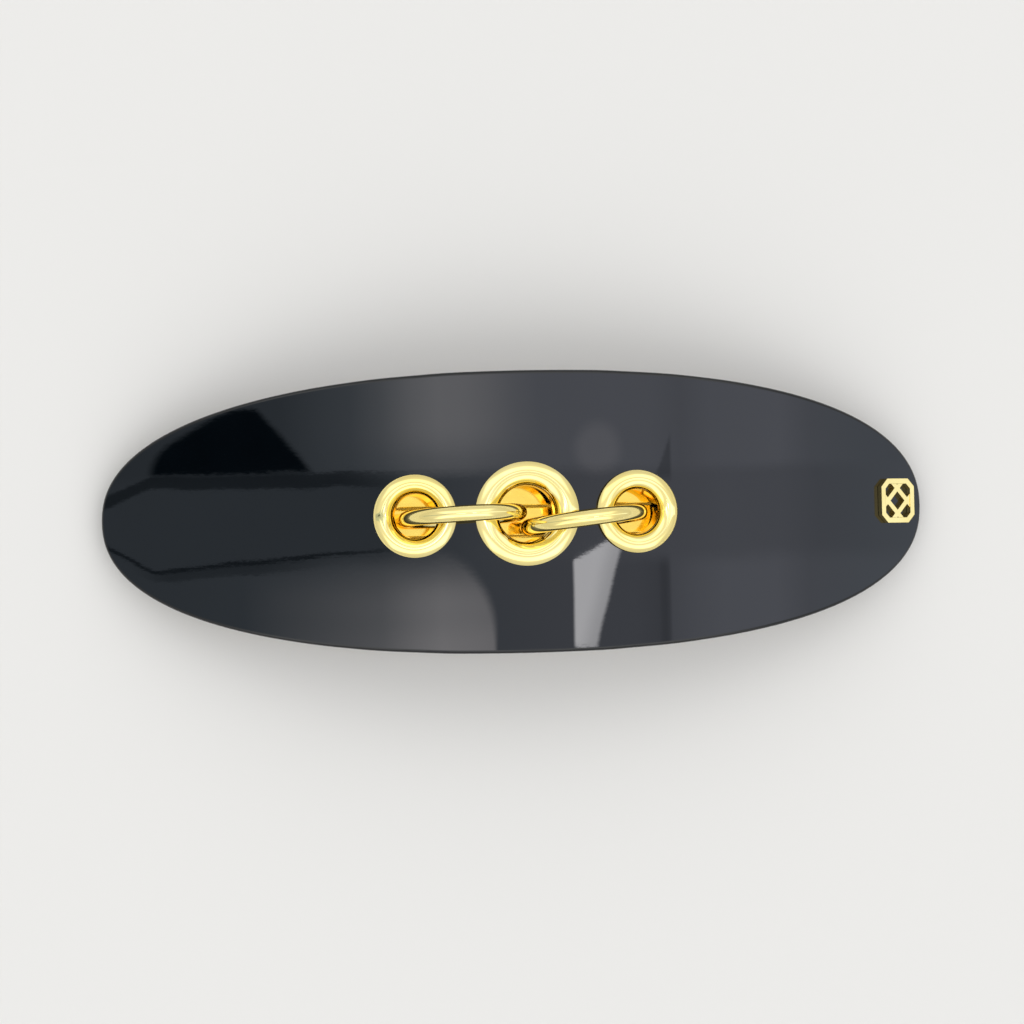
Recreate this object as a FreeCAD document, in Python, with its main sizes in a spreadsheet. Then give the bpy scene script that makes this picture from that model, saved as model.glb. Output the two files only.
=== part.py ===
import FreeCAD, Part
import Sketcher
import math
import os

# Oval barrette: a curved acetate plate with three metal eyelets, two closed
# rings threaded through them, a small openwork badge, and a spring clip
# riveted behind.  Millimetres.  X along the length, Y across, Z up with the
# decorated face up.  The origin is under the middle of the plate, on the flat
# underside of the clasp arm, which is the face the barrette rests on.

doc = FreeCAD.newDocument("barrette")
V = FreeCAD.Vector

# ----------------------------------------------------------------- dimensions
TABLE = [
    # plate
    ("plate_half_len", 60.35, "half length measured along the bend"),
    ("plate_half_wid", 19.05, "half width"),
    ("outline_power", 2.24, "superellipse power of the outline"),
    ("plate_rad", 108.0, "outer bend radius"),
    ("plate_thk", 3.0, "sheet thickness"),
    ("apex_height", 19.2, "height of the outer face at mid length"),
    ("edge_rad", 0.45, "polished edge radius"),
    # eyelets
    ("eye_pitch", 15.05, "eyelet spacing along the bend"),
    ("eye_row", -0.3, "offset of the eyelet row across the plate"),
    ("mid_throat", 4.05, "centre eyelet, inside radius"),
    ("mid_crease", 5.3, "centre eyelet, crease radius"),
    ("mid_flange", 7.0, "centre eyelet, flange radius"),
    ("side_throat", 3.25, "side eyelet, inside radius"),
    ("side_crease", 4.25, "side eyelet, crease radius"),
    ("side_flange", 5.58, "side eyelet, flange radius"),
    ("eye_wall", 0.4, "barrel wall"),
    ("eye_rise", 1.3, "flange height above the plate"),
    ("mid_bead", 1.47, "centre eyelet, radius of the rolled mouth"),
    ("side_bead", 1.22, "side eyelet, radius of the rolled mouth"),
    ("mid_crown", 1.9, "centre eyelet, outer band radius"),
    ("side_crown", 1.5, "side eyelet, outer band radius"),
    ("washer_thk", 0.5, "backing washer thickness"),
    ("washer_drop", 0.22, "washer seat below the plate back"),
    # rings
    ("ring_mean", 7.55, "ring centreline radius"),
    ("wire_rad", 1.1, "ring wire radius"),
    ("ring_height", 19.3, "height of the ring centres"),
    ("ring_left_x", -8.66, "left ring centre"),
    ("ring_left_y", -0.42, "left ring centre"),
    ("ring_left_turn", 2.3, "left ring heading"),
    ("ring_left_lean", 1.6, "left ring lean from upright"),
    ("ring_right_x", 7.66, "right ring centre"),
    ("ring_right_y", -1.3, "right ring centre"),
    ("ring_right_turn", 6.4, "right ring heading"),
    ("ring_right_lean", 1.4, "right ring lean from upright"),
    # badge
    ("badge_at", 55.35, "badge position along the bend"),
    ("badge_y", 0.6, "badge position across"),
    ("badge_len", 5.9, "badge length"),
    ("badge_wid", 6.15, "badge width"),
    ("badge_thk", 0.8, "badge thickness"),
    # clip base
    ("clip_y", -1.15, "centreline of the clip"),
    ("base_top", 10.5, "top of the flat base"),
    ("base_thk", 0.8, "base strip thickness"),
    ("base_wid", 10.0, "base strip width"),
    ("tab_angle", 21.8, "slope of the end tabs"),
    ("tab_dist", 104.75, "tab top, distance from the bend axis"),
    ("tab_half", 5.6, "tab length past its rivets"),
    ("channel_wid", 4.0, "stamped channel width"),
    ("channel_deep", 0.35, "stamped channel depth"),
    ("channel_half", 27.0, "half length of the channel"),
    ("lug_thk", 0.8, "hinge lug thickness"),
    ("lug_rad", 1.2, "hinge lug end radius"),
    # hinge and arm
    ("pin_x", -40.0, "hinge pin position"),
    ("pin_z", 1.3, "hinge pin height"),
    ("pin_rad", 0.6, "hinge pin radius"),
    ("arm_thk", 0.8, "arm strip thickness"),
    ("arm_wid", 7.4, "arm strip width"),
    ("knuckle_wid", 8.2, "rolled knuckle width"),
    ("knuckle_bore", 0.65, "knuckle bore radius"),
    ("arm_step_x", 34.0, "start of the raised arm end"),
    ("arm_step", 1.4, "rise of the arm end"),
    ("arm_tip", 42.2, "arm tip position"),
    ("win_from", 37.0, "catch window start"),
    ("win_to", 40.7, "catch window end"),
    ("win_half", 2.6, "catch window half width"),
    # catch
    ("catch_thk", 0.5, "catch strip thickness"),
    ("catch_half", 2.2, "catch plate half width"),
    ("prong_in", 1.75, "inner face of the prongs from the centreline"),
    ("barb_gap", 0.04, "clearance of the barbs inside the window"),
    # tension bar
    ("bar_half", 29.0, "half span of the tension bar"),
    ("bar_bow", 3.9, "bow depth"),
    ("bar_thk", 0.4, "bar thickness"),
    ("bar_wid", 4.6, "bar width"),
    # rivets
    ("rivet_rad", 0.6, "plate rivet shank radius"),
    ("rivet_head", 0.9, "plate rivet head radius"),
    ("rivet_y", 3.2, "plate rivet offset from the clip centreline"),
]

sheet = doc.addObject("Spreadsheet::Sheet", "dims")
for row, (alias, value, note) in enumerate(TABLE, start=1):
    sheet.set("A%d" % row, alias)
    sheet.set("B%d" % row, repr(float(value)))
    sheet.set("C%d" % row, note)
    sheet.setAlias("B%d" % row, alias)
doc.recompute()


class Q:
    """A dimension carried both as a number and as a spreadsheet expression."""

    def __init__(self, v, e=None):
        self.v = float(v)
        self.e = e if e is not None else ("%.9g" % float(v))

    def _q(self, o):
        return o if isinstance(o, Q) else Q(o)

    def __add__(self, o):
        o = self._q(o)
        return Q(self.v + o.v, "(%s + %s)" % (self.e, o.e))

    __radd__ = __add__

    def __sub__(self, o):
        o = self._q(o)
        return Q(self.v - o.v, "(%s - %s)" % (self.e, o.e))

    def __rsub__(self, o):
        return self._q(o) - self

    def __mul__(self, o):
        o = self._q(o)
        return Q(self.v * o.v, "(%s * %s)" % (self.e, o.e))

    __rmul__ = __mul__

    def __truediv__(self, o):
        o = self._q(o)
        return Q(self.v / o.v, "(%s / %s)" % (self.e, o.e))

    def __neg__(self):
        return Q(-self.v, "(0 - %s)" % self.e)


D = {alias: Q(value, "dims." + alias) for alias, value, note in TABLE}


def qsin(a):
    return Q(math.sin(math.radians(a.v)), "sin(%s)" % a.e)


def qcos(a):
    return Q(math.cos(math.radians(a.v)), "cos(%s)" % a.e)


def qsqrt(a):
    return Q(math.sqrt(a.v), "sqrt(%s)" % a.e)


def qq(x):
    return x if isinstance(x, Q) else Q(x)


def put(obj, prop, q):
    obj.setExpression(prop, qq(q).e)


def seat(obj, x, y, z):
    put(obj, ".Placement.Base.x", x)
    put(obj, ".Placement.Base.y", y)
    put(obj, ".Placement.Base.z", z)


def plane(body, role):
    for o in body.Origin.OriginFeatures:
        if getattr(o, "Role", "") == role or o.Name.startswith(role):
            return o
    raise RuntimeError("no origin plane " + role)


def profile(body, name, points, role):
    """Closed profile; every point is tied to the sketch origin by two bound
    dimensions.  A point is (u, v) or (u, v, radius, turn) where the last two
    describe the arc that leads on to the next point (turn +1 counter-clockwise)."""
    sk = body.newObject("Sketcher::SketchObject", name)
    sk.AttachmentSupport = (plane(body, role), [""])
    sk.MapMode = "FlatFace"
    n = len(points)
    ids = []
    ends = []
    for i in range(n):
        a, b = points[i], points[(i + 1) % n]
        ax, ay, bx, by = qq(a[0]).v, qq(a[1]).v, qq(b[0]).v, qq(b[1]).v
        if len(a) == 4:
            r, turn = qq(a[2]).v, a[3]
            mx, my = (ax + bx) / 2, (ay + by) / 2
            dx, dy = bx - ax, by - ay
            length = math.hypot(dx, dy)
            h = math.sqrt(max(r * r - length * length / 4, 0.0))
            cx = mx - turn * dy / length * h
            cy = my + turn * dx / length * h
            t0 = math.atan2(ay - cy, ax - cx)
            t1 = math.atan2(by - cy, bx - cx)
            circle = Part.Circle(V(cx, cy, 0), V(0, 0, 1), r)
            if turn > 0:
                g = sk.addGeometry(Part.ArcOfCircle(circle, t0, t1), False)
                ends.append((1, 2))
            else:
                g = sk.addGeometry(Part.ArcOfCircle(circle, t1, t0), False)
                ends.append((2, 1))
        else:
            g = sk.addGeometry(Part.LineSegment(V(ax, ay, 0), V(bx, by, 0)), False)
            ends.append((1, 2))
        ids.append(g)
    for i in range(n):
        j = (i + 1) % n
        sk.addConstraint(Sketcher.Constraint("Coincident", ids[i], ends[i][1], ids[j], ends[j][0]))
    for i in range(n):
        for kind, q in (("DistanceX", qq(points[i][0])), ("DistanceY", qq(points[i][1]))):
            if q.v >= 0:
                c = sk.addConstraint(Sketcher.Constraint(kind, -1, 1, ids[i], ends[i][0], q.v))
                sk.setExpression("Constraints[%d]" % c, q.e)
            else:
                c = sk.addConstraint(Sketcher.Constraint(kind, ids[i], ends[i][0], -1, 1, -q.v))
                sk.setExpression("Constraints[%d]" % c, (-q).e)
    for i in range(n):
        if len(points[i]) == 4:
            q = qq(points[i][2])
            c = sk.addConstraint(Sketcher.Constraint("Radius", ids[i], q.v))
            sk.setExpression("Constraints[%d]" % c, q.e)
    return sk


def turned(name, points):
    """Body of revolution about its own Z from a radius/height profile."""
    body = doc.addObject("PartDesign::Body", name)
    sk = profile(body, name + "_profile", points, "XZ_Plane")
    rev = body.newObject("PartDesign::Revolution", name + "_revolve")
    rev.Profile = sk
    rev.ReferenceAxis = (sk, ["V_Axis"])
    rev.Angle = 360.0
    body.Tip = rev
    sk.Visibility = False
    return body


def sheetmetal(name, points, width, centre):
    """Strip drawn in the XZ plane and padded across the given centre."""
    body = doc.addObject("PartDesign::Body", name)
    sk = profile(body, name + "_outline", points, "XZ_Plane")
    pad = body.newObject("PartDesign::Pad", name + "_pad")
    pad.Profile = sk
    put(pad, "Length", width)
    body.Tip = pad
    sk.Visibility = False
    seat(body, 0, centre + qq(width) / 2, 0)
    return body


def slab(name, points, low, high):
    """Plate drawn in the XY plane and padded from low to high."""
    body = doc.addObject("PartDesign::Body", name)
    sk = profile(body, name + "_outline", points, "XY_Plane")
    pad = body.newObject("PartDesign::Pad", name + "_pad")
    pad.Profile = sk
    put(pad, "Length", qq(high) - low)
    body.Tip = pad
    sk.Visibility = False
    seat(body, 0, 0, low)
    return body


def box(name, x0, x1, y0, y1, z0, z1):
    b = doc.addObject("Part::Box", name)
    put(b, "Length", qq(x1) - x0)
    put(b, "Width", qq(y1) - y0)
    put(b, "Height", qq(z1) - z0)
    seat(b, x0, y0, z0)
    return b


def rod_y(name, x, z, r, y0, y1):
    """Round bar along Y."""
    c = doc.addObject("Part::Cylinder", name)
    put(c, "Radius", r)
    put(c, "Height", qq(y1) - y0)
    c.Placement = FreeCAD.Placement(V(0, 0, 0), FreeCAD.Rotation(V(1, 0, 0), -90))
    seat(c, x, y0, z)
    return c


axis_z = D["apex_height"] - D["plate_rad"]


def on_arch(obj, angle, dist, y):
    """Seat an object on the bend: local Z points away from the bend axis."""
    if abs(qq(angle).v) > 1e-9:
        obj.Placement = FreeCAD.Placement(V(0, 0, 0), FreeCAD.Rotation(V(0, 1, 0), qq(angle).v))
    seat(obj, qq(dist) * qsin(qq(angle)), y, axis_z + qq(dist) * qcos(qq(angle)))
    return obj


def radial(name, angle, y, r, d0, d1):
    """Round bar pointing away from the bend axis, from distance d0 to d1."""
    c = doc.addObject("Part::Cylinder", name)
    put(c, "Radius", r)
    put(c, "Height", qq(d1) - d0)
    on_arch(c, angle, d0, y)
    return c


def fuse(name, objs):
    f = doc.addObject("Part::MultiFuse", name)
    f.Shapes = objs
    for o in objs:
        o.Visibility = False
    return f


def cut(name, base, tools):
    tool = tools[0] if len(tools) == 1 else fuse(name + "_tools", tools)
    c = doc.addObject("Part::Cut", name)
    c.Base = base
    c.Tool = tool
    base.Visibility = False
    tool.Visibility = False
    return c


nodes = []


def node(obj, label):
    obj.Label = label
    nodes.append(obj)
    return obj


per_rad = Q(180.0 / math.pi)
side_angle = D["eye_pitch"] / D["plate_rad"] * per_rad
badge_angle = D["badge_at"] / D["plate_rad"] * per_rad
inner_rad = D["plate_rad"] - D["plate_thk"]
cy = D["clip_y"]

# ---------------------------------------------------------------------- plate
# Cut flat as a superellipse and then bent, so its edge stays square to the
# bend.  Every hole in it follows the dimensions of the piece that fills it.


def bent_face(radius):
    cyl = Part.Cylinder()
    cyl.Radius = radius
    a = D["plate_half_len"].v / D["plate_rad"].v
    b = D["plate_half_wid"].v
    power = 2.0 / D["outline_power"].v
    pts = []
    count = 72
    for i in range(count):
        t = 2 * math.pi * i / count
        c, s = math.cos(t), math.sin(t)
        pts.append(FreeCAD.Base.Vector2d(math.copysign(abs(c) ** power, c) * a,
                                         math.copysign(abs(s) ** power, s) * b))
    curve = Part.Geom2d.BSplineCurve2d()
    curve.interpolate(Points=pts, PeriodicFlag=True)
    edge = curve.toShape(cyl)
    wire = Part.Wire([edge])
    face = Part.Face(cyl, wire)
    face.validate()
    return face, wire


outer_face, outer_wire = bent_face(D["plate_rad"].v)
inner_face, inner_wire = bent_face(inner_rad.v)
rim = Part.makeRuledSurface(outer_wire.Edges[0], inner_wire.Edges[0])
shell = Part.makeShell([outer_face, inner_face] + rim.Faces)
shell.sewShape()
blank_shape = Part.makeSolid(Part.Shell(shell.Faces))
if blank_shape.Volume < 0:
    blank_shape.reverse()
# the bend axis of the raw shape is its local Z and its outline starts on local X
m = FreeCAD.Matrix(0, 1, 0, 0,
                   0, 0, 1, 0,
                   1, 0, 0, axis_z.v,
                   0, 0, 0, 1)
blank_shape.transformShape(m, True)
rounded = None
try:
    rim_edges = [e for e in blank_shape.Edges if e.Length > 100]
    trial = blank_shape.makeFillet(D["edge_rad"].v, rim_edges)
    if trial.isValid() and trial.Volume > 0 and len(trial.Solids) == 1:
        rounded = trial
except Exception as err:
    print("edge rounding skipped:", err)
blank = doc.addObject("Part::Feature", "plate_blank")
blank.Shape = rounded if rounded is not None else blank_shape

holes = [
    radial("bore_left", -side_angle, D["eye_row"], D["side_throat"] + D["eye_wall"] + 0.05, inner_rad - 1, D["plate_rad"] + 1),
    radial("bore_centre", Q(0), D["eye_row"], D["mid_throat"] + D["eye_wall"] + 0.05, inner_rad - 1, D["plate_rad"] + 1),
    radial("bore_right", side_angle, D["eye_row"], D["side_throat"] + D["eye_wall"] + 0.05, inner_rad - 1, D["plate_rad"] + 1),
    radial("seat_left", -side_angle, D["eye_row"], D["side_flange"] + 0.04, D["plate_rad"] - 0.19, D["plate_rad"] + 1),
    radial("seat_centre", Q(0), D["eye_row"], D["mid_flange"] + 0.04, D["plate_rad"] - 0.28, D["plate_rad"] + 1),
    radial("seat_right", side_angle, D["eye_row"], D["side_flange"] + 0.04, D["plate_rad"] - 0.19, D["plate_rad"] + 1),
]
for i, sgn in enumerate((-1, 1)):
    for j, side in enumerate((-1, 1)):
        holes.append(radial("blind_%d%d" % (i, j), sgn * D["tab_angle"], cy + side * D["rivet_y"],
                            D["rivet_rad"] + 0.02, inner_rad - 1, inner_rad + 2.0))
badge_pin_off = Q(1.75)
for j, side in enumerate((-1, 1)):
    h = doc.addObject("Part::Cylinder", "badge_socket_%d" % j)
    put(h, "Radius", 0.42)
    put(h, "Height", 3.0)
    on_arch(h, badge_angle, D["plate_rad"] - 1.7, D["badge_y"] + side * badge_pin_off)
    holes.append(h)
plate = node(cut("plate", blank, holes), "plate")


# -------------------------------------------------------------------- eyelets
def eyelet(name, throat, crease, flange, bead, crown, sink):
    t, rise = D["plate_thk"], D["eye_rise"]
    barrel = throat + D["eye_wall"]
    low = -(t + D["washer_drop"] + D["washer_thk"] + 0.02)
    pts = [
        (crease - bead - 0.03, -(t - 0.3)),
        (crease - bead, rise - 0.22 - bead, bead, -1),
        (crease, rise - 0.22),
        (crease + 0.06, rise - 0.24, crown, -1),
        (flange, rise - 0.76),
        (flange, -qq(sink)),
        (barrel, -qq(sink)),
        (barrel, low),
        (barrel + 0.8, low),
        (barrel + 0.8, low - 0.15, Q(0.5), -1),
        (barrel + 0.35, low - 0.5),
        (barrel - 0.12, low - 0.5),
    ]
    return turned(name, pts)


def washer(name, throat, flange):
    top = -(D["plate_thk"] + D["washer_drop"])
    inner = throat + D["eye_wall"] + 0.03
    outer = flange - 0.5
    pts = [(inner, top - D["washer_thk"]), (outer - 0.15, top - D["washer_thk"]),
           (outer, top - D["washer_thk"] + 0.15), (outer, top), (inner, top)]
    return turned(name, pts)


for label, angle, kind in (("left", -side_angle, "side"), ("centre", Q(0), "mid"), ("right", side_angle, "side")):
    th, cr, fl = D[kind + "_throat"], D[kind + "_crease"], D[kind + "_flange"]
    e = eyelet("eyelet_" + label, th, cr, fl, D[kind + "_bead"], D[kind + "_crown"], Q(0.26 if kind == "mid" else 0.17))
    on_arch(e, angle, D["plate_rad"], D["eye_row"])
    node(e, "eyelet_" + label)
    w = washer("washer_" + label, th, fl)
    on_arch(w, angle, D["plate_rad"], D["eye_row"])
    node(w, "washer_" + label)

# ---------------------------------------------------------------------- rings
for label in ("left", "right"):
    r = doc.addObject("Part::Torus", "ring_" + label)
    put(r, "Radius1", D["ring_mean"])
    put(r, "Radius2", D["wire_rad"])
    heading = D["ring_%s_turn" % label].v
    upright = 90 - D["ring_%s_lean" % label].v
    r.Placement = FreeCAD.Placement(V(0, 0, 0),
                                    FreeCAD.Rotation(V(0, 0, 1), heading) * FreeCAD.Rotation(V(1, 0, 0), upright))
    seat(r, D["ring_%s_x" % label], D["ring_%s_y" % label], D["ring_height"])
    node(r, "ring_" + label)

# ---------------------------------------------------------------------- badge
# an open trellis: a thin eight-sided frame with crossed diagonal bars
bl, bw, bt = D["badge_len"], D["badge_wid"], D["badge_thk"]
bx, by, c = bl / 2, bw / 2, Q(1.1)


def eight(name, inset, low, high):
    """Eight-sided slab, drawn inwards from the badge outline by an inset."""
    k = inset * 0.5858
    x0, y0, cc = bx - inset, by - inset, c - k
    return slab(name, [(-x0 + cc, -y0), (x0 - cc, -y0), (x0, -y0 + cc), (x0, y0 - cc),
                       (x0 - cc, y0), (-x0 + cc, y0), (-x0, y0 - cc), (-x0, -y0 + cc)], low, high)


frame_ring = cut("badge_frame", eight("badge_outer", Q(0), Q(0.0), bt), [eight("badge_inner", Q(0.72), Q(-0.5), bt + 0.5)])
bars = []
for k, (slope, off) in enumerate(((1, -1.75), (1, 1.75), (-1, -1.75), (-1, 1.75))):
    wd = 0.47
    bars.append(slab("badge_bar_%d" % k, [
        (Q(-4.5), Q(slope * -4.5 + off - wd)), (Q(4.5), Q(slope * 4.5 + off - wd)),
        (Q(4.5), Q(slope * 4.5 + off + wd)), (Q(-4.5), Q(slope * -4.5 + off + wd))], Q(0.0), bt - 0.12))
bar_set = fuse("badge_bars", bars)
bar_trim = doc.addObject("Part::Common", "badge_bars_trimmed")
bar_trim.Base = bar_set
bar_trim.Tool = eight("badge_limit", Q(0.3), Q(-0.5), bt + 0.5)
bar_set.Visibility = False
bar_trim.Tool.Visibility = False
badge_open = fuse("badge_open", [frame_ring, bar_trim])
pins = []
for j, side in enumerate((-1, 1)):
    p = doc.addObject("Part::Cylinder", "badge_pin_%d" % j)
    put(p, "Radius", 0.4)
    put(p, "Height", 1.9)
    seat(p, 0, side * badge_pin_off, -1.6)
    pins.append(p)
badge = fuse("badge", [badge_open] + pins)
on_arch(badge, badge_angle, D["plate_rad"] + 0.01, D["badge_y"])
node(badge, "badge")

# ------------------------------------------------------------------ clip base
th = D["tab_angle"]
st, ct = qsin(th), qcos(th)


def tab_point(dist, along):
    """Point of the right tab: distance from the bend axis, length along the slope."""
    return dist * st + along * ct, axis_z + dist * ct - along * st


top = D["base_top"]
bot = top - D["base_thk"]
td = D["tab_dist"]
xb_top = (td - (top - axis_z) * ct) / st
xb_bot = (td - D["base_thk"] - (bot - axis_z) * ct) / st
e_top = tab_point(td, D["tab_half"])
e_bot = tab_point(td - D["base_thk"], D["tab_half"])
strip = sheetmetal("base_strip", [
    (-xb_bot, bot), (xb_bot, bot), (e_bot[0], e_bot[1]), (e_top[0], e_top[1]),
    (xb_top, top), (-xb_top, top), (-e_top[0], e_top[1]), (-e_bot[0], e_bot[1])],
    D["base_wid"], cy)
rib = box("base_rib", -D["channel_half"], D["channel_half"], cy - D["channel_wid"] / 2, cy + D["channel_wid"] / 2,
          bot - D["channel_deep"], bot + 0.1)
lug_solids = []
mid = td - D["base_thk"] / 2
px, pz = D["pin_x"], D["pin_z"]


def tab_mid_z(x):
    """Height of the mid surface of the left tab above a (negative) x."""
    return axis_z + (mid + x * st) / ct


for k, side in enumerate((-1, 1)):
    centre = cy + side * (D["base_wid"] / 2 - D["lug_thk"] / 2)
    xa, xc = px - 3.2, px + 4.0
    web = sheetmetal("lug_web_%d" % k, [
        (px - D["lug_rad"], pz), (px + D["lug_rad"], pz), (xc, tab_mid_z(xc)), (xa, tab_mid_z(xa))],
        D["lug_thk"], centre)
    eye = rod_y("lug_eye_%d" % k, px, pz, D["lug_rad"], centre - D["lug_thk"] / 2, centre + D["lug_thk"] / 2)
    lug_solids += [web, eye]
base_solid = fuse("base_solid", [strip, rib] + lug_solids)
channel = doc.addObject("PartDesign::Body", "base_channel")
# its sides are S-shaped: a rounded edge above and a rounded corner below
ch_half, ch_deep = D["channel_wid"] / 2, D["channel_deep"]
ch_rad = Q(0.3)
ch_run = qsqrt(ch_deep * ch_rad - ch_deep * ch_deep / 4)
ch_sk = profile(channel, "base_channel_outline", [
    (cy - ch_half + ch_run, top - ch_deep), (cy + ch_half - ch_run, top - ch_deep, ch_rad, 1),
    (cy + ch_half, top - ch_deep / 2, ch_rad, -1), (cy + ch_half + ch_run, top),
    (cy + ch_half + ch_run, top + 1), (cy - ch_half - ch_run, top + 1),
    (cy - ch_half - ch_run, top, ch_rad, -1), (cy - ch_half, top - ch_deep / 2, ch_rad, 1)], "YZ_Plane")
ch_pad = channel.newObject("PartDesign::Pad", "base_channel_pad")
ch_pad.Profile = ch_sk
put(ch_pad, "Length", D["channel_half"] * 2)
channel.Tip = ch_pad
ch_sk.Visibility = False
seat(channel, -D["channel_half"], 0, 0)
base_tools = [
    channel,
    rod_y("lug_bore", px, pz, D["pin_rad"] + 0.02, cy - D["base_wid"] / 2 - 1, cy + D["base_wid"] / 2 + 1),
    box("bar_slot_left", -D["bar_half"] - 0.45, -D["bar_half"] + 0.55, cy - 1.4, cy + 1.4, bot - 1, top + 1),
    box("bar_slot_right", D["bar_half"] - 0.55, D["bar_half"] + 0.45, cy - 1.4, cy + 1.4, bot - 1, top + 1),
    radial("catch_rivet_bore", th, cy, Q(0.92), td - 3, td + 2),
]
for i, sgn in enumerate((-1, 1)):
    for j, side in enumerate((-1, 1)):
        base_tools.append(radial("tab_bore_%d%d" % (i, j), sgn * th, cy + side * D["rivet_y"],
                                 D["rivet_rad"] + 0.02, td - 3, td + 2))
clip_base = node(cut("clip_base", base_solid, base_tools), "clip_base")

# --------------------------------------------------------------- plate rivets
rivets = []
under = td - D["base_thk"] - 0.02
for i, sgn in enumerate((-1, 1)):
    for j, side in enumerate((-1, 1)):
        y = cy + side * D["rivet_y"]
        shank = radial("rivet_shank_%d%d" % (i, j), sgn * th, y, D["rivet_rad"], under - 0.1, inner_rad + 1.9)
        head = radial("rivet_head_%d%d" % (i, j), sgn * th, y, D["rivet_head"], under - 0.4, under)
        rivets.append(fuse("rivet_%d%d" % (i, j), [shank, head]))
rivet_set = doc.addObject("Part::Compound", "plate_rivets")
rivet_set.Links = rivets
for o in rivets:
    o.Visibility = False
node(rivet_set, "plate_rivets")

# ------------------------------------------------------------------ hinge pin
half = D["base_wid"] / 2
pin = fuse("hinge_pin", [
    rod_y("pin_shaft", px, pz, D["pin_rad"], cy - half - 0.3, cy + half + 0.3),
    rod_y("pin_head_a", px, pz, Q(0.95), cy - half - 0.38, cy - half - 0.03),
    rod_y("pin_head_b", px, pz, Q(0.95), cy + half + 0.03, cy + half + 0.38)])
node(pin, "hinge_pin")

# ------------------------------------------------------------------ clasp arm
at, up = D["arm_thk"], D["arm_step"]
sx, tip = D["arm_step_x"], D["arm_tip"]
arm_strip = sheetmetal("arm_strip", [
    (px, Q(0)), (sx, Q(0)), (sx + 2.0, up), (tip, up), (tip, up + at), (sx + 1.75, up + at), (sx - 0.25, at), (px, at)],
    D["arm_wid"], cy)
knuckle = rod_y("arm_knuckle", px, pz, pz, cy - D["knuckle_wid"] / 2, cy + D["knuckle_wid"] / 2)
arm_solid = fuse("arm_solid", [arm_strip, knuckle])
arm_window = box("arm_window", D["win_from"], D["win_to"], cy - D["win_half"], cy + D["win_half"], up - 1, up + at + 1)
arm_bore = rod_y("arm_bore", px, pz, D["knuckle_bore"], cy - 6, cy + 6)
arm_groove = box("arm_groove", Q(-30), Q(28), cy - 1.4, cy + 1.4, at - 0.3, at + 1)
tip_corners = []
for k, side in enumerate((-1, 1)):
    y0 = cy + side * (D["arm_wid"] / 2)
    tip_corners.append(slab("arm_corner_%d" % k, [
        (tip - 1.3, y0), (tip + 0.5, y0 - side * 1.8), (tip + 0.5, y0 + side * 0.5), (tip - 1.3, y0 + side * 0.5)],
        up - 1, up + at + 1))
arm = node(cut("clasp_arm", arm_solid, [arm_window, arm_bore, arm_groove] + tip_corners), "clasp_arm")

# ---------------------------------------------------------------------- catch
ck = D["catch_thk"]
c_top = td - D["base_thk"] - 0.02
c_bot = c_top - ck
a0, a1 = Q(-3.2), Q(3.6)
p1, p2 = tab_point(c_top, a0), tab_point(c_top, a1)
p3, p4 = tab_point(c_bot, a1), tab_point(c_bot, a0)
catch_plate = sheetmetal("catch_plate", [p1, p4, p3, p2], D["catch_half"] * 2, cy)
catch_body = node(cut("catch_body", catch_plate, [radial("catch_bore", th, cy, Q(0.92), td - 3, td + 2)]), "catch_body")


def prong_top(x):
    """Height just under the catch plate at x."""
    return axis_z + (c_bot - 0.06 - x * st) / ct


wf, wt2 = D["win_from"] + 0.2, D["win_to"] - 0.3
for label, side in (("front", -1), ("rear", 1)):
    y_mid = cy + side * (D["prong_in"] + ck / 2)
    web = sheetmetal("prong_web_" + label, [
        (wf, Q(0.3)), (wt2, Q(0.3)), (wt2, up + at + 0.7), (tip + 0.5, up + at + 0.7), (tip + 0.5, Q(0.9)),
        (tip + 0.9, Q(0.9)), (tip + 0.9, Q(4.6)), (wt2, Q(4.9)), (wt2, prong_top(wt2)), (wf, prong_top(wf))],
        ck, y_mid)
    s = side
    yi, yo = cy + s * D["prong_in"], cy + s * (D["prong_in"] + ck)
    wing = slab("prong_wing_" + label, [
        (tip + 0.5, yi), (tip + 1.6, yi), (tip + 3.9, yi + s * 1.75), (tip + 3.6, yi + s * 2.15),
        (tip + 1.42, yo), (tip + 0.5, yo)], Q(0.9), Q(4.6))
    yb = cy + s * (D["win_half"] - D["barb_gap"])
    barb = doc.addObject("PartDesign::Body", "prong_barb_" + label)
    bsk = profile(barb, "prong_barb_%s_outline" % label,
                  [(yi + s * 0.1, Q(0.3)), (yo, Q(0.3)), (yb, up - 0.35), (yb, up - 0.06), (yo, up - 0.06), (yi + s * 0.1, up - 0.06)],
                  "YZ_Plane")
    bpad = barb.newObject("PartDesign::Pad", "prong_barb_%s_pad" % label)
    bpad.Profile = bsk
    put(bpad, "Length", wt2 - wf - 0.8)
    barb.Tip = bpad
    bsk.Visibility = False
    seat(barb, wf + 0.4, 0, 0)
    node(fuse("catch_prong_" + label, [web, wing, barb]), "catch_prong_" + label)

catch_rivet = fuse("catch_rivet", [
    radial("catch_rivet_shank", th, cy, Q(0.9), c_bot - 0.1, td - 0.03),
    radial("catch_rivet_head", th, cy, Q(1.35), c_bot - 0.42, c_bot - 0.02)])
node(catch_rivet, "catch_rivet")

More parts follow.
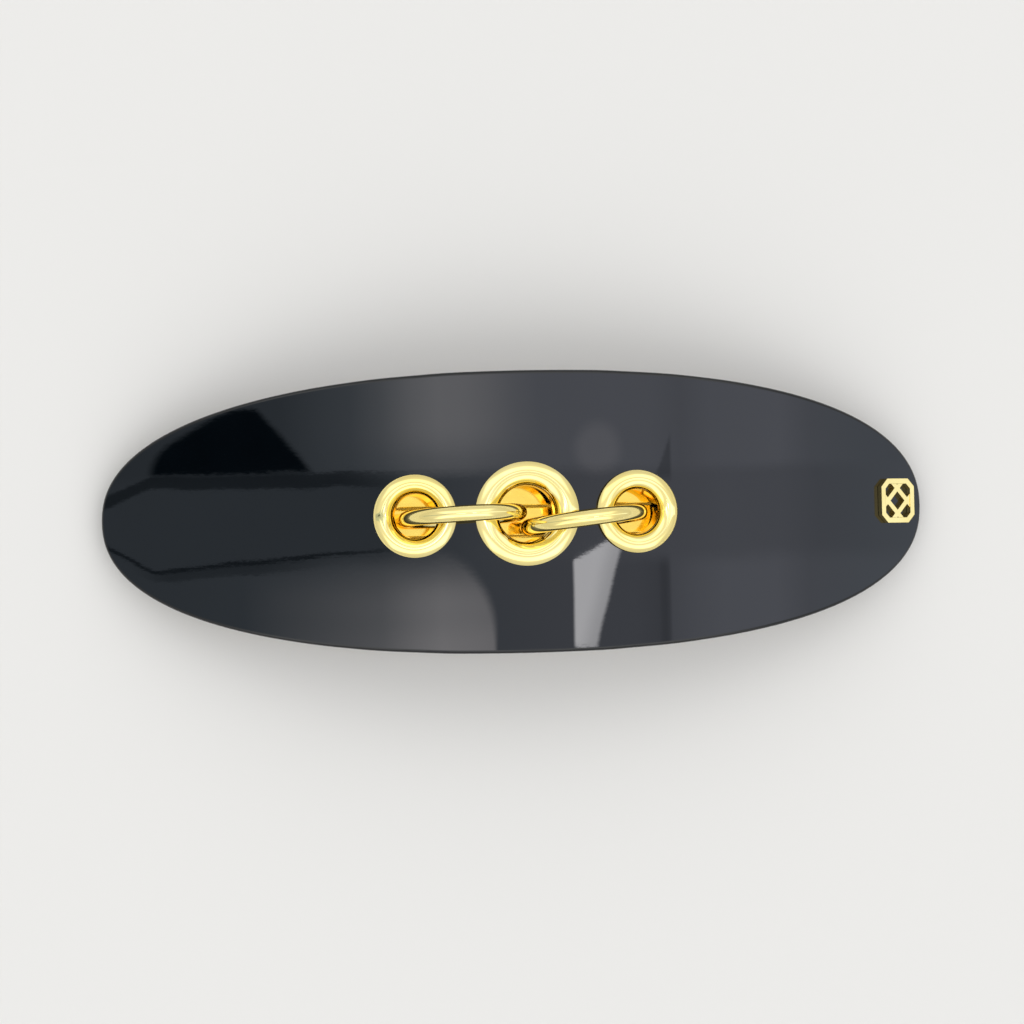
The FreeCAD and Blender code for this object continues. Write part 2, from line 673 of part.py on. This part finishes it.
# ---------------------------------------------------------------- tension bar
bh, bb = D["bar_half"], D["bar_bow"]
bow_rad = (bh * bh + bb * bb) / (2 * bb)
bar_top = bot - 0.1
bow_axis = bar_top - bb + bow_rad
bar_y0, bar_y1 = cy - D["bar_wid"] / 2, cy + D["bar_wid"] / 2
shell_out = rod_y("bar_outer", Q(0), bow_axis, bow_rad + D["bar_thk"], bar_y0, bar_y1)
shell_in = rod_y("bar_inner", Q(0), bow_axis, bow_rad, bar_y0 - 1, bar_y1 + 1)
bar_ring = cut("bar_ring", shell_out, [shell_in])
bar_zone = box("bar_zone", -bh, bh, bar_y0 - 1, bar_y1 + 1, bar_top - bb - 2, bar_top + 0.05)
bar_arc = doc.addObject("Part::Common", "bar_arc")
bar_arc.Base = bar_ring
bar_arc.Tool = bar_zone
bar_ring.Visibility = False
bar_zone.Visibility = False
hooks = [
    box("bar_hook_left", -bh, -bh + 0.4, cy - 1.2, cy + 1.2, bar_top - 0.35, top + 0.35),
    box("bar_hook_right", bh - 0.4, bh, cy - 1.2, cy + 1.2, bar_top - 0.35, top + 0.35)]
node(fuse("tension_bar", [bar_arc] + hooks), "tension_bar")

# --------------------------------------------------------------------- output
doc.recompute()
os.makedirs("parts", exist_ok=True)
bad = []
for obj in doc.Objects:
    state = [str(s) for s in obj.State]
    if any(s in ("Invalid", "Error") for s in state):
        bad.append("%s: %s" % (obj.Name, state))
for obj in nodes:
    shape = obj.Shape
    if shape.isNull() or not shape.isValid() or shape.Volume <= 0:
        bad.append("%s: shape is null or not valid" % obj.Name)
if bad:
    raise RuntimeError("; ".join(bad))
for obj in nodes:
    shape = obj.Shape
    bb_ = shape.BoundBox
    print("%-20s solids %d  vol %9.2f  x %7.2f %7.2f  y %7.2f %7.2f  z %6.2f %6.2f" % (
        obj.Label, len(shape.Solids), shape.Volume, bb_.XMin, bb_.XMax, bb_.YMin, bb_.YMax, bb_.ZMin, bb_.ZMax))
    shape.exportStep("parts/%s.step" % obj.Label)
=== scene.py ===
import bpy
import bmesh
import math
from mathutils import Matrix, Vector


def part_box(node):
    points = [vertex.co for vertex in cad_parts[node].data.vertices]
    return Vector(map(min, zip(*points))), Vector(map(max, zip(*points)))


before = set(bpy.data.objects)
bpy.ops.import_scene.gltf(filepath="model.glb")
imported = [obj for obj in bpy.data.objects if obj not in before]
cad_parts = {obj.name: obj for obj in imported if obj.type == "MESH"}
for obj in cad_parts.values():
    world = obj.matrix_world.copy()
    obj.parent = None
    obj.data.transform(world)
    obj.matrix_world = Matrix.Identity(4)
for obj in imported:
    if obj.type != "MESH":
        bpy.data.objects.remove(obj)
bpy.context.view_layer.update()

MM = 0.001
scene = bpy.context.scene

low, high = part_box("plate")
APEX = high[2] / MM    # height of the outer face at mid length, mm
RAD = 108.0            # the plate's outer bend radius, mm, about an axis along Y


# ---------------------------------------------------------------- materials
class Tree:
    """Small helper for building a node tree."""

    def __init__(self, name, world=False):
        if world:
            self.host = bpy.data.worlds.new(name)
        else:
            self.host = bpy.data.materials.new(name)
        self.host.use_nodes = True
        self.t = self.host.node_tree
        self.t.nodes.clear()

    def n(self, kind, **kw):
        node = self.t.nodes.new(kind)
        for k, v in kw.items():
            if k == "inputs":
                for key, val in v.items():
                    if isinstance(val, bpy.types.NodeSocket):
                        self.t.links.new(val, node.inputs[key])
                    else:
                        node.inputs[key].default_value = val
            else:
                setattr(node, k, v)
        return node

    def m(self, op, a, b=None, c=None, clamp=False):
        node = self.t.nodes.new("ShaderNodeMath")
        node.operation = op
        node.use_clamp = clamp
        for i, v in enumerate((a, b, c)):
            if v is None:
                continue
            if isinstance(v, bpy.types.NodeSocket):
                self.t.links.new(v, node.inputs[i])
            else:
                node.inputs[i].default_value = v
        return node.outputs[0]

    def ramp(self, fac, stops, interp="LINEAR"):
        node = self.t.nodes.new("ShaderNodeValToRGB")
        node.color_ramp.interpolation = interp
        els = node.color_ramp.elements
        while len(els) > 1:
            els.remove(els[-1])
        els[0].position = stops[0][0]
        els[0].color = tuple(stops[0][1]) + (1.0,)
        for p, c in stops[1:]:
            e = els.new(p)
            e.color = tuple(c) + (1.0,)
        self.t.links.new(fac, node.inputs[0])
        return node.outputs[0]

    def step(self, x, a, b):
        """Smooth 0..1 as x goes from a to b."""
        node = self.t.nodes.new("ShaderNodeMapRange")
        node.interpolation_type = "SMOOTHSTEP"
        node.clamp = True
        if isinstance(x, bpy.types.NodeSocket):
            self.t.links.new(x, node.inputs[0])
        else:
            node.inputs[0].default_value = x
        for i, v in ((1, a), (2, b), (3, 0.0), (4, 1.0)):
            if isinstance(v, bpy.types.NodeSocket):
                self.t.links.new(v, node.inputs[i])
            else:
                node.inputs[i].default_value = v
        return node.outputs[0]


def coords(t):
    return t.n("ShaderNodeTexCoord").outputs["Object"]


def noise(t, vec, scale, detail=3.0, rough=0.5, dist=0.0):
    return t.n("ShaderNodeTexNoise", inputs={"Vector": vec, "Scale": scale, "Detail": detail,
                                             "Roughness": rough, "Distortion": dist}).outputs["Fac"]


def acetate():
    """Cast cellulose acetate, polished: near black with a blue cast, a faint
    long wave left by the polishing wheel, fine hairlines and a fine orange-peel skin."""
    t = Tree("acetate_polished")
    p = coords(t)
    big = noise(t, p, 46.0, 2.0, 0.45)
    fine = noise(t, p, 900.0, 3.0, 0.55)
    stretch = t.n("ShaderNodeMapping", inputs={"Vector": p, "Scale": (60.0, 2600.0, 60.0)}).outputs[0]
    hair = noise(t, stretch, 1.0, 2.0, 0.6)
    cloud = noise(t, p, 120.0, 4.0, 0.6)
    colour = t.ramp(cloud, [(0.30, (0.0005, 0.0013, 0.0022)), (0.70, (0.0008, 0.0019, 0.0030))])
    rough_base = t.m("MULTIPLY_ADD", fine, 0.008, 0.008)
    rough = t.m("MULTIPLY_ADD", t.step(hair, 0.66, 0.84), 0.018, rough_base)
    # the outer face is a true cylinder: shade it with the cylinder's own normal
    x, y, z = t.n("ShaderNodeSeparateXYZ", inputs={"Vector": p}).outputs
    arm = t.n("ShaderNodeCombineXYZ", inputs={"X": x, "Y": 0.0, "Z": t.m("SUBTRACT", z, (APEX - RAD) * MM)}).outputs[0]
    dist = t.n("ShaderNodeVectorMath", operation="LENGTH", inputs={0: arm}).outputs["Value"]
    true_n = t.n("ShaderNodeVectorMath", operation="NORMALIZE", inputs={0: arm}).outputs["Vector"]
    mesh_n = t.n("ShaderNodeVectorTransform", vector_type="NORMAL", convert_from="WORLD", convert_to="OBJECT",
                 inputs={0: t.n("ShaderNodeNewGeometry").outputs["Normal"]}).outputs[0]
    along = t.n("ShaderNodeVectorMath", operation="DOT_PRODUCT", inputs={0: mesh_n, 1: true_n}).outputs["Value"]
    face = t.m("MULTIPLY", t.step(dist, (RAD - 0.08) * MM, (RAD - 0.04) * MM), t.step(along, 0.990, 0.9965))
    joined = t.n("ShaderNodeMix", data_type="VECTOR", inputs={0: face})
    t.t.links.new(mesh_n, joined.inputs[4])
    t.t.links.new(true_n, joined.inputs[5])
    base = t.n("ShaderNodeVectorTransform", vector_type="NORMAL", convert_from="OBJECT", convert_to="WORLD",
               inputs={0: joined.outputs[1]}).outputs[0]
    wave = t.n("ShaderNodeBump", inputs={"Height": big, "Strength": 0.05, "Distance": 0.00030, "Normal": base}).outputs[0]
    peel = noise(t, p, 1500.0, 2.0, 0.5)
    skin = t.n("ShaderNodeBump", inputs={"Height": peel, "Strength": 0.05, "Distance": 0.0000030, "Normal": wave}).outputs[0]
    micro = t.n("ShaderNodeBump", inputs={"Height": hair, "Strength": 0.02, "Distance": 0.0000030, "Normal": skin}).outputs[0]
    sh = t.n("ShaderNodeBsdfPrincipled", inputs={"Base Color": colour, "Roughness": rough, "Normal": micro})
    sh.inputs["IOR"].default_value = 1.48
    sh.inputs["Coat Weight"].default_value = 0.0
    out = t.n("ShaderNodeOutputMaterial")
    t.t.links.new(sh.outputs[0], out.inputs[0])
    return t.host


def metal(name, light, dark, rough_lo, rough_hi, brush=None, wave=0.08, edge=0.0, deep=0.000010):
    """Gold-plated metal: colour drifts a little between two tones, roughness
    follows handling marks, and a shallow long wave stands for the polish."""
    t = Tree(name)
    p = coords(t)
    drift = noise(t, p, 160.0, 4.0, 0.6)
    colour = t.ramp(drift, [(0.32, dark), (0.68, light)])
    smear = noise(t, p, 420.0, 5.0, 0.62, 0.6)
    rough = t.m("MULTIPLY_ADD", smear, rough_hi - rough_lo, rough_lo)
    big = noise(t, p, 230.0, 2.0, 0.5)
    if edge:
        soft = t.n("ShaderNodeBevel", samples=4, inputs={"Radius": edge}).outputs[0]
        normal = t.n("ShaderNodeBump", inputs={"Height": big, "Strength": wave, "Distance": 0.00012, "Normal": soft}).outputs[0]
    else:
        normal = t.n("ShaderNodeBump", inputs={"Height": big, "Strength": wave, "Distance": 0.00012}).outputs[0]
    if brush:
        stretch = t.n("ShaderNodeMapping", inputs={"Vector": p, "Scale": brush}).outputs[0]
        lines = noise(t, stretch, 1.0, 3.0, 0.65)
        normal = t.n("ShaderNodeBump", inputs={"Height": lines, "Strength": 0.20, "Distance": deep,
                                               "Normal": normal}).outputs[0]
        rough = t.m("MULTIPLY_ADD", t.step(lines, 0.45, 0.85), 0.08, rough)
    pits = t.n("ShaderNodeTexVoronoi", inputs={"Vector": p, "Scale": 1500.0}).outputs["Distance"]
    dot = t.m("SUBTRACT", 1.0, t.step(pits, 0.05, 0.16))
    normal = t.n("ShaderNodeBump", invert=True, inputs={"Height": dot, "Strength": 0.06, "Distance": 0.000012,
                                                        "Normal": normal}).outputs[0]
    sh = t.n("ShaderNodeBsdfPrincipled", inputs={"Base Color": colour, "Roughness": rough, "Normal": normal})
    sh.inputs["Metallic"].default_value = 1.0
    sh.inputs["Specular Tint"].default_value = (1.0, 0.80, 0.46, 1.0)
    out = t.n("ShaderNodeOutputMaterial")
    t.t.links.new(sh.outputs[0], out.inputs[0])
    return t.host


GOLD_L, GOLD_D = (0.96, 0.830, 0.375), (0.94, 0.775, 0.285)
mat_plate = acetate()
mat_eyelet = metal("gold_spun", GOLD_L, GOLD_D, 0.030, 0.070)
mat_ring = metal("gold_polished", GOLD_L, GOLD_D, 0.025, 0.060, wave=0.10)
mat_badge = metal("gold_cast", (0.90, 0.735, 0.315), (0.83, 0.655, 0.255), 0.10, 0.20, wave=0.12, edge=0.00008)
# the clip base gets a darker, more orange gold than the arm, spring and rivets: painted shade for the base, which is
# seen in shadow under the plate through the eyelet holes
mat_base_painted_shade = metal("gold_stamped", (0.95, 0.68, 0.14), (0.88, 0.58, 0.09), 0.03, 0.08, brush=(40.0, 1400.0, 40.0), deep=0.0000025, edge=0.00012)
mat_arm = metal("gold_stamped_arm", (1.00, 0.80, 0.32), (0.96, 0.73, 0.24), 0.08, 0.16, brush=(40.0, 2400.0, 40.0), deep=0.000006, edge=0.00014)
mat_spring = metal("gold_spring", (0.98, 0.80, 0.38), (0.93, 0.72, 0.28), 0.09, 0.18, brush=(2000.0, 50.0, 50.0), deep=0.000006, edge=0.00010)
mat_rivet = metal("gold_rivet", (1.00, 0.82, 0.36), (0.95, 0.74, 0.26), 0.10, 0.22, wave=0.2, edge=0.00012)


def dress(node, material):
    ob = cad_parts[node]
    ob.data.materials.clear()
    ob.data.materials.append(material)


for nm in ("plate",):
    dress(nm, mat_plate)
for nm in ("eyelet_left", "eyelet_centre", "eyelet_right", "washer_left", "washer_centre", "washer_right"):
    dress(nm, mat_eyelet)
for nm in ("ring_left", "ring_right"):
    dress(nm, mat_ring)
dress("badge", mat_badge)
dress("clip_base", mat_base_painted_shade)
dress("clasp_arm", mat_arm)
for nm in ("catch_body", "catch_prong_front", "catch_prong_rear", "tension_bar"):
    dress(nm, mat_spring)
for nm in ("plate_rivets", "hinge_pin", "catch_rivet"):
    dress(nm, mat_rivet)

# -------------------------------------------------------------------- floor
bm = bmesh.new()
bmesh.ops.create_grid(bm, x_segments=2, y_segments=2, size=4.0)
mesh = bpy.data.meshes.new("floor")
bm.to_mesh(mesh)
bm.free()
floor = bpy.data.objects.new("floor", mesh)
scene.collection.objects.link(floor)
floor.location = (0, 0, -0.00002)
t = Tree("paper_floor")
sh = t.n("ShaderNodeBsdfPrincipled")
sh.inputs["Base Color"].default_value = (0.711, 0.705, 0.687, 1.0)
sh.inputs["Roughness"].default_value = 0.9
sh.inputs["Specular IOR Level"].default_value = 0.0
t.t.links.new(sh.outputs[0], t.n("ShaderNodeOutputMaterial").inputs[0])
mesh.materials.append(t.host)

# ------------------------------------------------------------------- studio
# One large soft dome.  Its brightness is painted by direction: a is the angle
# from straight up towards +X in degrees and y is the sideways component.
w = Tree("studio", world=True)
d = w.n("ShaderNodeTexCoord").outputs["Generated"]
sep = w.n("ShaderNodeSeparateXYZ", inputs={"Vector": d})
X, Y, Z = sep.outputs
a = w.m("MULTIPLY", w.m("ARCTAN2", X, Z), 180.0 / math.pi)


def between(x, a0, a1, b0, b1):
    return w.m("MULTIPLY", w.step(x, a0, a1), w.m("SUBTRACT", 1.0, w.step(x, b0, b1)))


def inv(x):
    return w.m("SUBTRACT", 1.0, x)


def mul(*xs):
    out = xs[0]
    for x in xs[1:]:
        out = w.m("MULTIPLY", out, x)
    return out


def add(*xs):
    out = xs[0]
    for x in xs[1:]:
        out = w.m("ADD", out, x)
    return out


def level(stops):
    """Brightness against the angle a, set at a few angles in degrees."""
    out = w.ramp(along, [((deg + 70.0) / 150.0, (v / 4.0,) * 3) for deg, v in stops])
    return w.m("MULTIPLY", out, 4.0)


along = w.m("MULTIPLY_ADD", a, 1.0 / 150.0, 70.0 / 150.0)
upper = w.step(Y, 0.0262, 0.0310)          # far side of the strip that the plate mirrors
lower = inv(w.step(Y, 0.0010, 0.0075))     # near side
# tent walls: dim on the left, brighter on the right, with a soft step at 28 and 51 degrees
wall_mid = level([(-60, 0.60), (-18, 0.63), (0, 1.05), (20, 1.32), (31, 1.38), (38, 1.46), (48, 1.42), (55, 1.24), (70, 1.26)])
wall_up = level([(-60, 0.52), (-33, 0.60), (-25, 0.82), (-17, 0.98), (0, 1.25), (8, 1.60), (20, 1.68), (26, 1.66),
                 (31, 1.50), (36, 1.70), (48, 1.76), (54, 1.44), (60, 1.36), (70, 1.22)])
wall_low = level([(-60, 0.62), (-40, 0.72), (-25, 0.80), (0, 1.00), (12, 1.10), (23, 1.14), (26.6, 1.04), (27.4, 0.84),
                  (28.3, 0.84), (28.9, 1.40), (33, 1.60), (38, 1.75), (47, 1.74), (53, 1.42), (70, 1.40)])
cool = add(wall_mid, mul(upper, w.m("SUBTRACT", wall_up, wall_mid)), mul(lower, w.m("SUBTRACT", wall_low, wall_mid)))
# a slim stand, seen as a dark spike on the far half
spike_edge = w.m("MULTIPLY_ADD", Y, 258.0, 19.6)
spike = mul(w.step(w.m("SUBTRACT", a, spike_edge), -0.3, 0.5), inv(w.step(a, 28.9, 29.6)), w.step(Y, 0.024, 0.028), w.step(a, 26.0, 26.6))
cool = mul(cool, inv(mul(spike, 0.34)))
# overhead soft box, seen on the far half
glow = mul(level([(-34, 0.0), (-22, 0.12), (-17, 0.50), (-12, 1.24), (-8, 1.62), (-4, 1.50), (0, 1.10), (4, 0.50), (8, 0.06), (12, 0.0)]),
           upper, w.m("MULTIPLY_ADD", w.step(Y, 0.029, 0.042), 0.55, 0.45))
# a round soft lamp beside it
dx = w.m("MULTIPLY_ADD", a, 1.0 / 4.3, -17.3 / 4.3)
dy = w.m("MULTIPLY_ADD", Y, 1.0 / 0.0078, -0.0340 / 0.0078)
off = w.m("SQRT", add(mul(dx, dx), mul(dy, dy)))
spot = mul(inv(w.step(off, 0.50, 1.15)), 0.48)
# second soft box on the near half, with a curved sharp edge on its right
rise = w.m("MAXIMUM", w.m("ADD", Y, 0.0194), 0.0)
frame_edge = w.m("MULTIPLY_ADD", mul(rise, rise, rise), -407000.0, 0.3)
past = w.m("DIVIDE", w.m("SUBTRACT", a, frame_edge), w.m("MULTIPLY_ADD", rise, 90.0, 0.7))
glow2 = mul(level([(-40, 0.0), (-27, 0.55), (-17.5, 1.02), (-12, 1.85), (-8, 2.30), (-3, 2.05), (1, 1.75), (2, 1.7)]),
            inv(w.step(past, -0.6, 0.6)), w.step(Y, 0.0100, -0.0080), w.m("MULTIPLY_ADD", w.step(Y, -0.010, -0.018), 0.22, 1.0))
# narrow bright panel, its right side leaning
panel_edge = w.m("MULTIPLY_ADD", Y, 165.0, 19.45)
inside = w.m("SUBTRACT", a, panel_edge)
panel = mul(w.step(a, 12.6, 13.3), inv(w.step(inside, -0.4, 0.5)), inv(w.step(w.m("MULTIPLY_ADD", a, -0.001, Y), -0.0100, -0.0088)),
            w.step(Y, -0.0192, -0.0180), w.m("MULTIPLY_ADD", w.step(inside, -3.6, 0.0), -2.2, 8.2))
white = add(glow, spot, glow2)
# seams between the tent and the table on the left
fade = inv(w.step(a, -26.0, -8.0))
bend = w.m("MULTIPLY_ADD", w.m("MAXIMUM", w.m("SUBTRACT", -55.5, a), 0.0), 0.0006, Y)
seam1 = mul(between(bend, 0.0252, 0.0260, 0.0290, 0.0297), fade)
curl = w.m("MULTIPLY_ADD", w.m("MAXIMUM", w.m("SUBTRACT", -55.0, a), 0.0), -0.0008, Y)
line = w.m("MULTIPLY_ADD", a, -0.00011, w.m("SUBTRACT", curl, 0.01054))
seam2 = mul(between(line, -0.0012, -0.0008, -0.0002, 0.0003), fade, 0.80)
shade2 = mul(between(line, -0.0038, -0.0030, -0.0010, -0.0006), inv(w.step(a, -38.0, -20.0)), w.step(a, -60.0, -52.0), 0.36)
keep = inv(w.m("MAXIMUM", mul(seam1, 0.62), w.m("MAXIMUM", seam2, shade2)))
cool = mul(cool, keep)
white = mul(white, keep)
bright = panel
near = mul(w.step(Y, -0.070, -0.035), inv(w.step(Y, 0.062, 0.100)), w.step(Z, 0.10, 0.25))
# everything away from the strip that the plate mirrors
side = between(X, -0.78, -0.55, 0.55, 0.78)
front_box = mul(between(Y, -0.80, -0.64, -0.34, -0.18), side, w.step(Z, 0.2, 0.4), 0.80)
back_box = mul(between(Y, 0.20, 0.34, 0.58, 0.76), side, w.step(Z, 0.2, 0.4), 0.60)
rest = add(0.75, mul(w.step(Z, 0.10, 0.92), 0.22), front_box, back_box)
cool = add(rest, mul(w.m("SUBTRACT", cool, rest), near))
white = mul(white, near)
bright = mul(bright, near)
# black screen at the far left
high = w.m("MAXIMUM", w.m("MULTIPLY_ADD", Y, 1.0 / 0.0159, -0.0302 / 0.0159), 0.0)
left_side = w.m("MULTIPLY_ADD", mul(high, high), 14.0, -55.5)
right_side = w.m("MULTIPLY_ADD", Y, -534.0, -12.4)
screen = mul(w.step(w.m("SUBTRACT", a, left_side), -1.2, 1.2), inv(w.step(w.m("SUBTRACT", a, right_side), -0.9, 0.9)),
             w.step(Y, 0.0293, 0.0300), inv(w.step(Y, 0.0458, 0.0468)))
open_ = inv(mul(screen, 0.97))
cool = mul(cool, open_)
white = mul(white, open_)
red = add(0.875, mul(w.step(a, -20.0, 15.0), 0.09), mul(w.step(a, 48.0, 66.0), -0.045))
rgb = w.n("ShaderNodeCombineXYZ", inputs={
    "X": add(mul(cool, red), mul(white, 1.06), mul(bright, 0.985)),
    "Y": add(cool, mul(white, 0.985), mul(bright, 0.97)),
    "Z": add(mul(cool, 1.150), mul(white, 0.97), mul(bright, 0.985))}).outputs[0]
grey = w.n("ShaderNodeCombineXYZ", inputs={"X": cool, "Y": mul(cool, 0.997), "Z": mul(cool, 0.990)}).outputs[0]
blend = w.n("ShaderNodeMix", data_type="VECTOR", inputs={0: near})
w.t.links.new(grey, blend.inputs[4])
w.t.links.new(rgb, blend.inputs[5])
bg = w.n("ShaderNodeBackground", inputs={"Color": blend.outputs[1]})
w.t.links.new(bg.outputs[0], w.n("ShaderNodeOutputWorld").inputs[0])
scene.world = w.host

scene.view_settings.view_transform = "Standard"
scene.view_settings.look = "None"
scene.view_settings.exposure = 0.0
scene.view_settings.gamma = 1.0

# ------------------------------------------------------------------- camera
AX, AY, AZ = (math.radians(v) for v in (-1.006, 5.516, 1.370))
PX = 0.1345 * MM                 # metres per image unit at the apex
DIST = 0.500
view = Matrix.Rotation(AZ, 3, "Z") @ Matrix.Rotation(AX, 3, "X") @ Matrix.Rotation(AY, 3, "Y")
cam_data = bpy.data.cameras.new("camera")
cam = bpy.data.objects.new("camera", cam_data)
scene.collection.objects.link(cam)
cam_data.sensor_width = 36.0
cam_data.lens = 36.0 * (DIST / PX) / 1024.0
cam_data.clip_start = 0.01
cam_data.clip_end = 20.0
x_axis, y_axis, z_axis = view[0], view[1], view[2]
where = Vector((0, 0, APEX * MM)) + z_axis * DIST - x_axis * (14.95 * PX) - y_axis * (0.62 * PX)
rot = Matrix((x_axis, y_axis, z_axis)).transposed()
cam.matrix_world = Matrix.Translation(where) @ rot.to_4x4()
scene.camera = cam
